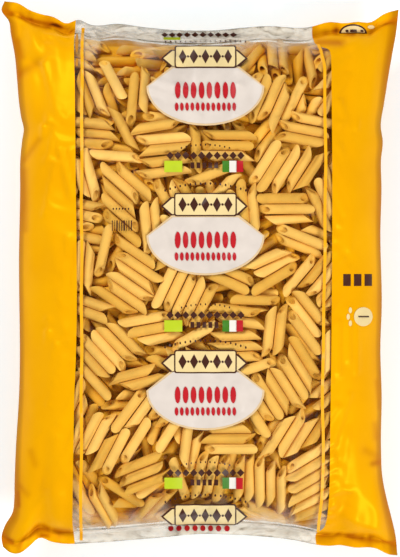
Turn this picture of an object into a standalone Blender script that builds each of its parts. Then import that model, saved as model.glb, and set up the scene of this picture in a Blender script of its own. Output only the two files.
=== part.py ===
"""A pillow packet of quill-cut pasta tubes, lying on its back: film sides, clear window, crimped ends.

Metres, +Z up, +X to the right of the front, +Y towards the top seal, front of the packet upwards.
The origin lies on the table under the middle of the outline.
"""

import math

import bmesh
import bpy
import numpy as np
from mathutils import Matrix, Vector

# Driving dimensions of the filled packet
BODY_HALF_WIDTH = 0.168
FILL_HEIGHT = 0.102
SEAL_HEIGHT = 0.040
SEAL_DEPTH = 0.010
SEAL_THICKNESS = 0.0018
WINDOW_LEFT = -0.117
WINDOW_RIGHT = 0.124
WINDOW_DROP = 0.0065
WINDOW_MARGIN = 0.001
SEAL_CLEAR = 0.004

# How full the section is: a higher power is flatter on top and steeper at the rim
ACROSS_POWER = 2.7
ALONG_POWER = 4.6
UNDERSIDE_POWER = 5.0
UNDERSIDE_PRESS = 1.16

# Folds that run into the body from the end seals, and the slack film of the four ears
GATHER_DEPTH = 0.0026
GATHER_REACH = 0.17
GATHER_LENGTHS = (0.047, 0.031, 0.0213)
EAR_DROOP = 0.010
SEAL_WAVE = 0.0022

# Pasta tubes: length from tip to tip, and the overhang of each slanting cut
TUBE_LENGTH = 0.050
TUBE_RADIUS = 0.005
TUBE_CUT = 0.0125
TUBE_SIDES = 7

# The heap under the window, settled against the film. Tubes sunk deeper than the last value aren't fused on
HEAP_COUNT = 550
HEAP_DEPTH = 0.030
HEAP_HALF_WIDTH = 0.128
HEAP_SLACK = 0.014
HEAP_END = 0.985
HEAP_ROUNDS = 600
HEAP_SEED = 10
HEAP_DISORDER = 0.8
HEAP_TILT = 0.3
HEAP_LIFT = 0.0014
HEAP_PUSH = 0.34
FILM_GAP = 0.0004
SUNK_TUBE = 0.0098

# Grid of the film: columns in a side panel, columns in the window, rows between the seals
PANEL_COLUMNS = 7
WINDOW_COLUMNS = 13
BODY_ROWS = 36

# Outline seen from the front, as x, y along each end and y, x up each side
TOP_EDGE = (
    (-0.182, 0.258), (-0.1690, 0.2560), (-0.158, 0.2495), (-0.147, 0.2455), (-0.1355, 0.2428),
    (-0.1245, 0.2370), (-0.113, 0.2405), (-0.102, 0.2362), (-0.075, 0.2366), (-0.0465, 0.2330),
    (0.0, 0.2302), (0.0605, 0.2345), (0.102, 0.2338), (0.121, 0.2385), (0.134, 0.2372),
    (0.147, 0.2385), (0.158, 0.2382), (0.172, 0.2466), (0.185, 0.2505),
)
BOTTOM_EDGE = (
    (-0.1835, -0.2500), (-0.1775, -0.2545), (-0.1665, -0.2548), (-0.159, -0.2492), (-0.1495, -0.2412),
    (-0.1385, -0.2446), (-0.090, -0.2450), (-0.0465, -0.2416), (0.0, -0.2376), (0.040, -0.2385),
    (0.087, -0.2430), (0.121, -0.2486), (0.130, -0.2478), (0.143, -0.2500), (0.163, -0.2508),
    (0.176, -0.2568), (0.184, -0.258),
)
LEFT_EDGE = (
    (-0.2500, -0.1835), (-0.241, -0.1850), (-0.231, -0.1822), (-0.2176, -0.1745), (-0.205, -0.1728),
    (-0.190, -0.1725), (-0.158, -0.1713), (-0.110, -0.1684), (0.026, -0.1683), (0.084, -0.1673),
    (0.110, -0.1672), (0.128, -0.1655), (0.139, -0.1640), (0.150, -0.1664), (0.164, -0.1684),
    (0.184, -0.1701), (0.2065, -0.1722), (0.229, -0.1764), (0.2395, -0.1780), (0.2500, -0.1848),
    (0.258, -0.182),
)
RIGHT_EDGE = (
    (-0.258, 0.184), (-0.240, 0.1823), (-0.2176, 0.1770), (-0.2065, 0.1741), (-0.184, 0.1696),
    (-0.158, 0.1684), (-0.110, 0.1690), (-0.062, 0.1678), (-0.028, 0.1690), (0.045, 0.1678),
    (0.084, 0.1688), (0.110, 0.1684), (0.128, 0.1700), (0.141, 0.1682), (0.1637, 0.1714),
    (0.2065, 0.1785), (0.2306, 0.1830), (0.2505, 0.185),
)


def start_clean():
    """Removes what the file opened with."""
    for found in list(bpy.data.objects):
        bpy.data.objects.remove(found)


def smooth_curve(points, at):
    """Values of the smooth curve through (position, value) points, at the positions asked for."""
    places, values = np.array(points).T
    slopes = np.gradient(values, places)
    span = np.clip(np.searchsorted(places, at) - 1, 0, len(places) - 2)
    step = places[span + 1] - places[span]
    t = np.clip((at - places[span]) / step, 0.0, 1.0)
    start = (1 + 2 * t) * (1 - t) ** 2 * values[span] + t * (1 - t) ** 2 * step * slopes[span]
    end = t * t * (3 - 2 * t) * values[span + 1] + t * t * (t - 1) * step * slopes[span + 1]
    return start + end


def seal_share(x):
    """The share of the packet's length that an end seal takes up at each x."""
    return SEAL_DEPTH / (smooth_curve(TOP_EDGE, x) - smooth_curve(BOTTOM_EDGE, x))


def along_packet(x, y):
    """-1 at the inner line of the bottom seal, 1 at that of the top seal."""
    low = smooth_curve(BOTTOM_EDGE, x) + SEAL_DEPTH
    high = smooth_curve(TOP_EDGE, x) - SEAL_DEPTH
    return (2 * y - low - high) / (high - low)


def swell(across, along, power):
    """How far the film stands off the seal plane, from 0 at the rim to 1 in the middle."""
    side = np.sqrt(np.clip(1 - np.abs(across) ** power, 0, 1))
    end = np.sqrt(np.clip(1 - np.abs(along) ** ALONG_POWER, 0, 1))
    return side * end


def rim_height(x, y):
    """Height of the seals and side folds: it waves along the ends and droops at the ears."""
    wave = np.sin(x * 95 + np.sign(y)) + 0.6 * np.sin(x * 171 + 2.2 * np.sign(y))
    near_end = np.clip(np.abs(y) / 0.23, 0, 1) ** 8
    ear = np.clip((np.abs(x) - 0.135) / 0.05, 0, 1) ** 2 * near_end
    return SEAL_HEIGHT + SEAL_WAVE * wave * near_end - EAR_DROOP * ear


def gathers(x, across, along):
    """Folds that the end seals gather into the film. They fade towards the middle of the packet."""
    to_seal = 1 - np.abs(along)
    reach = np.exp(-to_seal / GATHER_REACH) * np.clip(to_seal / 0.05, 0, 1)
    turn = np.sign(along) * 1.7
    folds = sum(np.sin(2 * math.pi * x / length + turn * k) for k, length in enumerate(GATHER_LENGTHS))
    return GATHER_DEPTH * folds * reach * np.clip((1 - np.abs(across)) / 0.12, 0, 1)


def film_top(x, y, across, along):
    """Height of the front film."""
    rise = (FILL_HEIGHT - SEAL_HEIGHT) * swell(across, along, ACROSS_POWER)
    return rim_height(x, y) + rise + gathers(x, across, along)


def film_under(x, y, across, along):
    """Height of the back film. The table holds its middle flat."""
    drop = UNDERSIDE_PRESS * swell(across, along, UNDERSIDE_POWER)
    return np.maximum(rim_height(x, y) * (1 - drop), 0.0)


def film_over_heap(x, y):
    """Height of the smooth front film over any point of the window."""
    across, along = x / BODY_HALF_WIDTH, np.clip(along_packet(x, y), -1, 1)
    return SEAL_HEIGHT + (FILL_HEIGHT - SEAL_HEIGHT) * swell(across, along, ACROSS_POWER)


def closest_shares(start_a, along_a, start_b, along_b):
    """For pairs of straight tubes, how far along each one lies its nearest point to the other."""
    between = start_a - start_b
    aa, bb = (along_a * along_a).sum(1), (along_b * along_b).sum(1)
    ab, ar, br = (along_a * along_b).sum(1), (along_a * between).sum(1), (along_b * between).sum(1)
    share_a = np.clip((ab * br - ar * bb) / np.maximum(aa * bb - ab * ab, 1e-12), 0, 1)
    share_b = np.clip((ab * share_a + br) / bb, 0, 1)
    return np.clip((ab * share_b - ar) / aa, 0, 1), share_b


def film_slope(x, y):
    """How much longer than straight down the gap between a tube and the sloping film has to be."""
    step = 0.002
    across = (film_over_heap(x + step, y) - film_over_heap(x - step, y)) / (2 * step)
    along = (film_over_heap(x, y + step) - film_over_heap(x, y - step)) / (2 * step)
    return np.sqrt(1 + np.minimum(across * across + along * along, 3.0))


def push_apart(low, high, first, second):
    """Moves the ends of every overlapping pair of tubes a part of the way that would free them."""
    share_a, share_b = closest_shares(low[first], (high - low)[first], low[second], (high - low)[second])
    point_a = low[first] + (high - low)[first] * share_a[:, None]
    point_b = low[second] + (high - low)[second] * share_b[:, None]
    apart = point_a - point_b
    distance = np.sqrt((apart * apart).sum(1)) + 1e-9
    overlap = np.clip(2 * TUBE_RADIUS - distance, 0, None)
    push = HEAP_PUSH * (overlap / distance)[:, None] * apart
    for ends, part_a, part_b in ((low, 1 - share_a, 1 - share_b), (high, share_a, share_b)):
        np.add.at(ends, first, push * (part_a / (1 - 2 * share_a * (1 - share_a)))[:, None])
        np.add.at(ends, second, -push * (part_b / (1 - 2 * share_b * (1 - share_b)))[:, None])


def hold_in_bag(ends, tips, half_length):
    """Moves the ends so that their tips stay between the seals and under the film."""
    reach = HEAP_HALF_WIDTH + HEAP_SLACK
    ends[:, 0] += np.clip(tips[:, 0], -reach, reach) - tips[:, 0]
    along = along_packet(tips[:, 0], tips[:, 1])
    ends[:, 1] += (np.clip(along, -HEAP_END, HEAP_END) - along) * half_length
    film = film_over_heap(tips[:, 0], tips[:, 1])
    ceiling = film - TUBE_RADIUS * film_slope(tips[:, 0], tips[:, 1]) - FILM_GAP
    ends[:, 2] -= np.maximum(tips[:, 2] - ceiling, 0)
    ends[:, 2] = np.maximum(ends[:, 2], film - HEAP_DEPTH)


def settle_heap():
    """Both ends of every tube's axis and its roll, once the heap presses up against the film.

    Neighbouring tubes start out nearly parallel. Each round lifts them all, pushes overlapping pairs
    apart and holds them in the bag. Places are rounded, so that the heap is the same on any computer.
    """
    rng = np.random.default_rng(HEAP_SEED)
    reach = (TUBE_LENGTH - TUBE_CUT) / 2
    half_length = (smooth_curve(TOP_EDGE, 0.0) - smooth_curve(BOTTOM_EDGE, 0.0)) / 2 - SEAL_DEPTH
    y = rng.uniform(-half_length, half_length, HEAP_COUNT)
    x = rng.uniform(-HEAP_HALF_WIDTH, HEAP_HALF_WIDTH, HEAP_COUNT)
    z = film_over_heap(x, y) - rng.uniform(0.004, HEAP_DEPTH, HEAP_COUNT)
    turn = np.sin(x * 40 - y * 13 + 0.7) + np.sin(y * 36 - x * 19 + 1.0)
    turn += rng.normal(0, HEAP_DISORDER, HEAP_COUNT)
    tilt = rng.normal(0, HEAP_TILT, HEAP_COUNT)
    heading = np.stack([np.cos(turn) * np.cos(tilt), np.sin(turn) * np.cos(tilt), np.sin(tilt)], 1)
    middle = np.stack([x, y, z], 1)
    low, high = middle - heading * reach, middle + heading * reach
    for step in range(HEAP_ROUNDS):
        if step % 10 == 0:
            centre = (low + high) / 2
            gap = centre[:, None] - centre[None]
            near = (gap * gap).sum(2) < (2 * reach + 4 * TUBE_RADIUS) ** 2
            first, second = np.nonzero(np.triu(near, 1))
        push_apart(low, high, first, second)
        lift = HEAP_LIFT * max(0.0, 1 - 1.5 * step / HEAP_ROUNDS)
        low[:, 2] += lift
        high[:, 2] += lift
        overhang = (high - low) * TUBE_CUT / (4 * reach)
        tips_low, tips_high = low - overhang, high + overhang
        hold_in_bag(low, tips_low, half_length)
        hold_in_bag(high, tips_high, half_length)
        centre, axis = (low + high) / 2, high - low
        axis *= reach / np.sqrt((axis * axis).sum(1))[:, None]
        low, high = np.round(centre - axis, 6), np.round(centre + axis, 6)
    return low, high, rng.uniform(0, 2 * math.pi, HEAP_COUNT)


def coons_patch(outer, inner, ends_low, ends_high, s, t):
    """Points of the sheet that spans four edges, at s from outer to inner edge and t from low to high end."""
    s, t = s[..., None], t[..., None]
    ruled = (1 - s) * outer + s * inner + (1 - t) * ends_low + t * ends_high
    corners = (1 - t) * ((1 - s) * outer[:, :1] + s * inner[:, :1])
    corners = corners + t * ((1 - s) * outer[:, -1:] + s * inner[:, -1:])
    return ruled - corners


def panel_points(line, edge, shares, rows):
    """x, y of a side panel: from its outer edge, where shares is 0, to the window's straight edge."""
    y_ends = np.array([edge[0][0], edge[-1][0]])
    outer_y = y_ends[0] + rows * (y_ends[1] - y_ends[0])
    outer = np.stack([smooth_curve(edge, outer_y), outer_y], -1)
    inner_ends = smooth_curve(BOTTOM_EDGE, np.array([line])), smooth_curve(TOP_EDGE, np.array([line]))
    inner_y = inner_ends[0] + rows * (inner_ends[1] - inner_ends[0])
    inner = np.stack([np.full_like(rows, line), inner_y], -1)
    ends = []
    for curve, row in ((BOTTOM_EDGE, 0), (TOP_EDGE, -1)):
        x = outer[row, 0] + shares * (line - outer[row, 0])
        y = smooth_curve(curve, x)
        y = y + (1 - shares) * (outer[row, 1] - y[0])
        ends.append(np.stack([x, y], -1))
    s, t = np.meshgrid(shares, rows, indexing="ij")
    return coons_patch(outer[None], inner[None], ends[0][:, None], ends[1][:, None], s, t)


def film_columns():
    """x, y and the share across the packet, -1 to 1, for every column and row of the film's grid."""
    ease = 1 - np.cos(np.linspace(0, math.pi / 2, PANEL_COLUMNS + 1))
    seal = float(seal_share(np.array([0.0]))[0])
    bend = np.sin(np.linspace(-math.pi / 2, math.pi / 2, BODY_ROWS + 1))
    even = np.linspace(-1, 1, BODY_ROWS + 1)
    body = 0.5 + (0.5 - seal) * (0.55 * even + 0.45 * bend)
    rows = np.concatenate([[0.0], body, [1.0]])
    left = panel_points(WINDOW_LEFT, LEFT_EDGE, ease, rows)
    right = panel_points(WINDOW_RIGHT, RIGHT_EDGE, ease, rows)[::-1]
    x = np.linspace(WINDOW_LEFT, WINDOW_RIGHT, WINDOW_COLUMNS + 1)[1:-1]
    low, high = smooth_curve(BOTTOM_EDGE, x)[:, None], smooth_curve(TOP_EDGE, x)[:, None]
    window = np.stack([np.broadcast_to(x[:, None], (len(x), len(rows))), low + rows * (high - low)], -1)
    left_share = -1 + ease * (1 + WINDOW_LEFT / BODY_HALF_WIDTH)
    right_share = 1 - ease * (1 - WINDOW_RIGHT / BODY_HALF_WIDTH)
    across = np.concatenate([left_share, x / BODY_HALF_WIDTH, right_share[::-1]])
    points = np.concatenate([left, window, right])
    along = np.clip((rows - 0.5) / (0.5 - seal), -1, 1)
    return points, np.broadcast_to(across[:, None], points.shape[:2]), np.broadcast_to(along, points.shape[:2])


def film_sheet(shell, points, heights):
    """Adds one sheet of the film to the shell, from Blender's grid, with its points set on the film."""
    columns, rows = heights.shape
    grid = bmesh.ops.create_grid(shell, x_segments=rows - 1, y_segments=columns - 1, size=1.0)
    order = sorted(grid["verts"], key=lambda vert: (round(vert.co.y, 6), round(vert.co.x, 6)))
    for vert, (x, y), z in zip(order, points.reshape(-1, 2), heights.reshape(-1)):
        vert.co = (x, y, z)
    edges = {edge for vert in order for edge in vert.link_edges}
    return [edge for edge in edges if edge.is_boundary]


def new_object(name, mesh, collection):
    """An object of that mesh, in that collection."""
    made = bpy.data.objects.new(name, mesh)
    collection.objects.link(made)
    return made


def packet_core(collection):
    """The packet's body: two film sheets joined round the rim, with the window let down under the heap."""
    points, across, along = film_columns()
    x, y = points[..., 0], points[..., 1]
    half_rim = SEAL_THICKNESS / 2
    top = film_top(x, y, across, along) + half_rim
    under = film_under(x, y, across, along)
    under = np.where(under > 0.0, np.maximum(under - half_rim, 0.0), 0.0)
    inside_window = (x > WINDOW_LEFT + WINDOW_MARGIN) & (x < WINDOW_RIGHT - WINDOW_MARGIN)
    room = np.clip((top - under) / 0.03, 0, 1)
    top = np.where(inside_window, top - WINDOW_DROP * room, top)
    shell = bmesh.new()
    rims = film_sheet(shell, points, top) + film_sheet(shell, points, under)
    bmesh.ops.bridge_loops(shell, edges=rims)
    bmesh.ops.recalc_face_normals(shell, faces=shell.faces)
    mesh = bpy.data.meshes.new("packet")
    shell.to_mesh(mesh)
    shell.free()
    return new_object("packet", mesh, collection)


def tube_mesh():
    """One pasta tube along +Z, solid, with both ends cut on the same slant."""
    tube = bmesh.new()
    half = (TUBE_LENGTH - TUBE_CUT) / 2
    bmesh.ops.create_cone(tube, cap_ends=True, segments=TUBE_SIDES, radius1=TUBE_RADIUS,
                          radius2=TUBE_RADIUS, depth=2 * half)
    for vert in tube.verts:
        vert.co.z += vert.co.x / TUBE_RADIUS * TUBE_CUT / 2
    mesh = bpy.data.meshes.new("tube")
    tube.to_mesh(mesh)
    tube.free()
    return mesh


def place_tubes(mesh, collection):
    """A copy of the tube for each piece of the heap that shows above the core."""
    lows, highs, rolls = settle_heap()
    middles = (lows + highs) / 2
    depth = film_over_heap(middles[:, 0], middles[:, 1]) - middles[:, 2]
    for low, high, roll, sunk in zip(lows, highs, rolls, depth):
        if sunk > SUNK_TUBE:
            continue
        axis = Vector(high - low)
        piece = new_object("tube", mesh, collection)
        turn = axis.to_track_quat("Z", "Y").to_matrix().to_4x4() @ Matrix.Rotation(roll, 4, "Z")
        piece.matrix_world = Matrix.Translation(Vector((low + high) / 2)) @ turn


def keep_outer_shell(mesh):
    """Drops loose scraps and fills sealed hollows: only the shell with the most faces stays."""
    shell = bmesh.new()
    shell.from_mesh(mesh)
    waiting, parts = set(shell.faces), []
    while waiting:
        reached = [waiting.pop()]
        for face in reached:
            beside = {other for edge in face.edges for other in edge.link_faces} & waiting
            waiting -= beside
            reached.extend(beside)
        parts.append(reached)
    parts.sort(key=len)
    for scrap in parts[:-1]:
        bmesh.ops.delete(shell, geom=scrap, context="FACES")
    shell.to_mesh(mesh)
    shell.free()


def fuse(core, pieces):
    """Joins the pieces to the core by one union, and removes them."""
    union = core.modifiers.new("heap", "BOOLEAN")
    union.operation = "UNION"
    union.operand_type = "COLLECTION"
    union.collection = pieces
    union.solver = "MANIFOLD"
    bpy.context.view_layer.update()
    seen = bpy.context.evaluated_depsgraph_get()
    fused = bpy.data.meshes.new_from_object(core.evaluated_get(seen))
    core.modifiers.clear()
    core.data = fused
    keep_outer_shell(fused)
    for piece in list(pieces.objects):
        bpy.data.objects.remove(piece)
    bpy.data.collections.remove(pieces)


def material(name, colour, roughness):
    """A plain surface of that colour."""
    made = bpy.data.materials.new(name)
    made.use_nodes = True
    shader = made.node_tree.nodes["Principled BSDF"]
    shader.inputs["Base Color"].default_value = (*colour, 1.0)
    shader.inputs["Roughness"].default_value = roughness
    return made


def paint(body):
    """Printed film all over, and pasta where the clear window shows it."""
    body.data.materials.clear()
    body.data.materials.append(material("printed_film", (0.93, 0.44, 0.004), 0.32))
    body.data.materials.append(material("pasta", (0.80, 0.45, 0.10), 0.55))
    for face in body.data.polygons:
        in_window = WINDOW_LEFT < face.center.x < WINDOW_RIGHT
        shown = in_window and face.center.z > SEAL_HEIGHT + SEAL_CLEAR
        face.material_index = 1 if shown else 0


def main():
    start_clean()
    packet = bpy.data.collections.new("pasta_packet")
    pieces = bpy.data.collections.new("window_tubes")
    bpy.context.scene.collection.children.link(packet)
    bpy.context.scene.collection.children.link(pieces)
    core = packet_core(packet)
    place_tubes(tube_mesh(), pieces)
    fuse(core, pieces)
    paint(core)


main()
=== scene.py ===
"""A five-kilo pillow packet of quill-cut pasta, lying on its back under a soft light.

Lengths are in metres. X runs across the packet, Y along it and Z up from the table.
"""

import math

import bpy
import numpy as np
from mathutils import Matrix, Vector


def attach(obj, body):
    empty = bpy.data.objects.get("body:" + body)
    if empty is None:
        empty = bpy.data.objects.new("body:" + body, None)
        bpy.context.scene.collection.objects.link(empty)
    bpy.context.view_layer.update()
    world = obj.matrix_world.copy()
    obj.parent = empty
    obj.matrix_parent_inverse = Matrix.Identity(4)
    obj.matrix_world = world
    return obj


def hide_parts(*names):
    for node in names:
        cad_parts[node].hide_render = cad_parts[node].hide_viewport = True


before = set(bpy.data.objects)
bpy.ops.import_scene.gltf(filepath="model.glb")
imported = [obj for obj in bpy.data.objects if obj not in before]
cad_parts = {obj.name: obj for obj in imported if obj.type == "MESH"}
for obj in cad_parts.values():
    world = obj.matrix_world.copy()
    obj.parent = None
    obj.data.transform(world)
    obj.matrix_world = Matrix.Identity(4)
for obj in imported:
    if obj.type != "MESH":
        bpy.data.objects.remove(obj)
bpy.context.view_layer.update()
bpy.ops.object.select_all(action="DESELECT")
bpy.context.scene.view_settings.view_transform = "Standard"


# The packet's form
# A tube of printed film, filled through its open end and welded flat at both ends.
# The fill swells it to a pillow. It lies on its back, so the table presses the underside flat.

BODY_HALF_WIDTH = 0.168
FILL_HEIGHT = 0.102
SEAL_HEIGHT = 0.040
SEAL_DEPTH = 0.010
WINDOW_LEFT = -0.117
WINDOW_RIGHT = 0.124
ACROSS_POWER = 2.7
ALONG_POWER = 4.6
UNDERSIDE_POWER = 5.0
UNDERSIDE_PRESS = 1.16
GATHER_DEPTH = 0.0026
GATHER_REACH = 0.17
GATHER_SIDE_FADE = 0.12
GATHER_LENGTHS = (0.047, 0.031, 0.0213)
EAR_START, EAR_WIDTH, EAR_DROOP = 0.135, 0.05, 0.010
SEAL_WAVE = 0.0022
SEAL_START = 0.23

# The uneven outline seen from above: the ends as points (x, y), the sides as points (y, x).
TOP_EDGE = (
    (-0.182, 0.258), (-0.1690, 0.2560), (-0.158, 0.2495), (-0.147, 0.2455), (-0.1355, 0.2428),
    (-0.1245, 0.2370), (-0.113, 0.2405), (-0.102, 0.2362), (-0.075, 0.2366), (-0.0465, 0.2330),
    (0.0, 0.2302), (0.0605, 0.2345), (0.102, 0.2338), (0.121, 0.2385), (0.134, 0.2372),
    (0.147, 0.2385), (0.158, 0.2382), (0.172, 0.2466), (0.185, 0.2505),
)
BOTTOM_EDGE = (
    (-0.1835, -0.2500), (-0.1775, -0.2545), (-0.1665, -0.2548), (-0.159, -0.2492), (-0.1495, -0.2412),
    (-0.1385, -0.2446), (-0.090, -0.2450), (-0.0465, -0.2416), (0.0, -0.2376), (0.040, -0.2385),
    (0.087, -0.2430), (0.121, -0.2486), (0.130, -0.2478), (0.143, -0.2500), (0.163, -0.2508),
    (0.176, -0.2568), (0.184, -0.258),
)
LEFT_EDGE = (
    (-0.2500, -0.1835), (-0.241, -0.1850), (-0.231, -0.1822), (-0.2176, -0.1745), (-0.205, -0.1728),
    (-0.190, -0.1725), (-0.158, -0.1713), (-0.110, -0.1684), (0.026, -0.1683), (0.084, -0.1673),
    (0.110, -0.1672), (0.128, -0.1655), (0.139, -0.1640), (0.150, -0.1664), (0.164, -0.1684),
    (0.184, -0.1701), (0.2065, -0.1722), (0.229, -0.1764), (0.2395, -0.1780), (0.2500, -0.1848),
    (0.258, -0.182),
)
RIGHT_EDGE = (
    (-0.258, 0.184), (-0.240, 0.1823), (-0.2176, 0.1770), (-0.2065, 0.1741), (-0.184, 0.1696),
    (-0.158, 0.1684), (-0.110, 0.1690), (-0.062, 0.1678), (-0.028, 0.1690), (0.045, 0.1678),
    (0.084, 0.1688), (0.110, 0.1684), (0.128, 0.1700), (0.141, 0.1682), (0.1637, 0.1714),
    (0.2065, 0.1785), (0.2306, 0.1830), (0.2505, 0.185),
)


def smooth_curve(points, at):
    """Values of the smooth curve through (position, value) points, at the positions asked for."""
    places, values = np.array(points).T
    slopes = np.gradient(values, places)
    span = np.clip(np.searchsorted(places, at) - 1, 0, len(places) - 2)
    step = places[span + 1] - places[span]
    t = np.clip((at - places[span]) / step, 0.0, 1.0)
    start = (1 + 2 * t) * (1 - t) ** 2 * values[span] + t * (1 - t) ** 2 * step * slopes[span]
    end = t * t * (3 - 2 * t) * values[span + 1] + t * t * (t - 1) * step * slopes[span + 1]
    return start + end


def seal_lines(x):
    """y of the inner lines of the bottom and top seals."""
    return smooth_curve(BOTTOM_EDGE, x) + SEAL_DEPTH, smooth_curve(TOP_EDGE, x) - SEAL_DEPTH


def along_packet(x, y):
    """-1 at the inner line of the bottom seal, 1 at that of the top seal."""
    low, high = seal_lines(x)
    return (2 * y - low - high) / (high - low)


def swell(across, along, power):
    """How far the film stands off the seal plane, from 0 at the rim to 1 in the middle."""
    side = np.sqrt(np.clip(1 - np.abs(across) ** power, 0, 1))
    end = np.sqrt(np.clip(1 - np.abs(along) ** ALONG_POWER, 0, 1))
    return side * end


def rim_height(x, y):
    """Height of the seals and side folds: it waves along the ends and droops at the ears."""
    wave = np.sin(x * 95 + np.sign(y)) + 0.6 * np.sin(x * 171 + 2.2 * np.sign(y))
    near_end = np.clip(np.abs(y) / SEAL_START, 0, 1) ** 8
    ear = np.clip((np.abs(x) - EAR_START) / EAR_WIDTH, 0, 1) ** 2 * near_end
    return SEAL_HEIGHT + SEAL_WAVE * wave * near_end - EAR_DROOP * ear


def gathers(x, across, along):
    """Folds that the end seals gather into the film. They fade towards the middle of the packet."""
    to_seal = 1 - np.abs(along)
    reach = np.exp(-to_seal / GATHER_REACH) * np.clip(to_seal / 0.05, 0, 1)
    turn = np.sign(along) * 1.7
    folds = sum(np.sin(2 * math.pi * x / length + turn * k) for k, length in enumerate(GATHER_LENGTHS))
    return GATHER_DEPTH * folds * reach * np.clip((1 - np.abs(across)) / GATHER_SIDE_FADE, 0, 1)


def film_top(x, y, across, along):
    """Height of the front film."""
    rise = (FILL_HEIGHT - SEAL_HEIGHT) * swell(across, along, ACROSS_POWER)
    return rim_height(x, y) + rise + gathers(x, across, along)


def film_under(x, y, across, along):
    """Height of the back film. The table holds its middle flat."""
    drop = UNDERSIDE_PRESS * swell(across, along, UNDERSIDE_POWER)
    return np.maximum(rim_height(x, y) * (1 - drop), 0.0)


def film_over_heap(x, y):
    """Height of the smooth front film over any point of the window."""
    across, along = x / BODY_HALF_WIDTH, np.clip(along_packet(x, y), -1, 1)
    return SEAL_HEIGHT + (FILL_HEIGHT - SEAL_HEIGHT) * swell(across, along, ACROSS_POWER)


# The pasta
# Smooth tubes of durum dough, pressed through a round die, cut on a slant while soft, and dried.
# They lie as they settled, several side by side here and there, and press up against the film.

TUBE_LENGTH = 0.050
TUBE_RADIUS = 0.005
TUBE_CUT = 0.0125
TUBE_BORE = 0.0029
TUBE_SIDES = 14
TUBE_EDGE = 0.00035
SIZE_RANGE = 1.05
BOW = 0.0006
# Tubes are drawn a little slimmer than they settle, so that dark gaps stay between them.
TUBE_SLIM = 0.955

HEAP_COUNT = 550
HEAP_DEPTH = 0.030
HEAP_HALF_WIDTH = 0.128
HEAP_SLACK = 0.014
HEAP_END = 0.985
HEAP_ROUNDS = 600
HEAP_SEED = 10
HEAP_DISORDER = 0.8
HEAP_TILT = 0.3
HEAP_LIFT = 0.0014
HEAP_PUSH = 0.34
FILM_GAP = 0.0004

# Painted shade: pasta deep in the heap is painted browner, from and to these numbers of tube radii under
# the film.
PAINTED_SHADE_TINT = (1.03, 0.86, 0.20)
PAINTED_SHADE_START, PAINTED_SHADE_END = 0.9, 3


def closest_shares(start_a, along_a, start_b, along_b):
    """For pairs of straight tubes, how far along each one lies its nearest point to the other."""
    between = start_a - start_b
    aa, bb = (along_a * along_a).sum(1), (along_b * along_b).sum(1)
    ab, ar, br = (along_a * along_b).sum(1), (along_a * between).sum(1), (along_b * between).sum(1)
    share_a = np.clip((ab * br - ar * bb) / np.maximum(aa * bb - ab * ab, 1e-12), 0, 1)
    share_b = np.clip((ab * share_a + br) / bb, 0, 1)
    return np.clip((ab * share_b - ar) / aa, 0, 1), share_b


def film_slope(x, y):
    """How much longer than straight down the gap between a tube and the sloping film has to be."""
    step = 0.002
    across = (film_over_heap(x + step, y) - film_over_heap(x - step, y)) / (2 * step)
    along = (film_over_heap(x, y + step) - film_over_heap(x, y - step)) / (2 * step)
    return np.sqrt(1 + np.minimum(across * across + along * along, 3.0))


def push_apart(low, high, first, second):
    """Moves the ends of every overlapping pair of tubes a part of the way that would free them."""
    share_a, share_b = closest_shares(low[first], (high - low)[first], low[second], (high - low)[second])
    point_a = low[first] + (high - low)[first] * share_a[:, None]
    point_b = low[second] + (high - low)[second] * share_b[:, None]
    apart = point_a - point_b
    distance = np.sqrt((apart * apart).sum(1)) + 1e-9
    overlap = np.clip(2 * TUBE_RADIUS - distance, 0, None)
    push = HEAP_PUSH * (overlap / distance)[:, None] * apart
    for ends, part_a, part_b in ((low, 1 - share_a, 1 - share_b), (high, share_a, share_b)):
        np.add.at(ends, first, push * (part_a / (1 - 2 * share_a * (1 - share_a)))[:, None])
        np.add.at(ends, second, -push * (part_b / (1 - 2 * share_b * (1 - share_b)))[:, None])


def hold_in_bag(ends, tips, half_length):
    """Moves the ends so that their tips stay between the seals and under the film."""
    reach = HEAP_HALF_WIDTH + HEAP_SLACK
    ends[:, 0] += np.clip(tips[:, 0], -reach, reach) - tips[:, 0]
    along = along_packet(tips[:, 0], tips[:, 1])
    ends[:, 1] += (np.clip(along, -HEAP_END, HEAP_END) - along) * half_length
    film = film_over_heap(tips[:, 0], tips[:, 1])
    ceiling = film - TUBE_RADIUS * film_slope(tips[:, 0], tips[:, 1]) - FILM_GAP
    ends[:, 2] -= np.maximum(tips[:, 2] - ceiling, 0)
    ends[:, 2] = np.maximum(ends[:, 2], film - HEAP_DEPTH)


def clear_seals(low, high, half_length):
    """Draws tubes that still reach into a seal back, and lifts their ends off the back film."""
    axis = high - low
    overhang = axis * TUBE_CUT / (2 * (TUBE_LENGTH - TUBE_CUT))
    beside = np.abs(axis[:, 0]) / (TUBE_LENGTH - TUBE_CUT) * TUBE_RADIUS / half_length
    limit = HEAP_END - beside
    for tips in (low - overhang, high + overhang):
        along = along_packet(tips[:, 0], tips[:, 1])
        back_in = (np.clip(along, -limit, limit) - along) * half_length
        low[:, 1] += back_in
        high[:, 1] += back_in
    for ends, tips in ((low, low - overhang), (high, high + overhang)):
        x, y = tips[:, 0], tips[:, 1]
        back = film_under(x, y, x / BODY_HALF_WIDTH, along_packet(x, y))
        ends[:, 2] += np.maximum(back + TUBE_RADIUS * film_slope(x, y) + FILM_GAP - tips[:, 2], 0)


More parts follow.
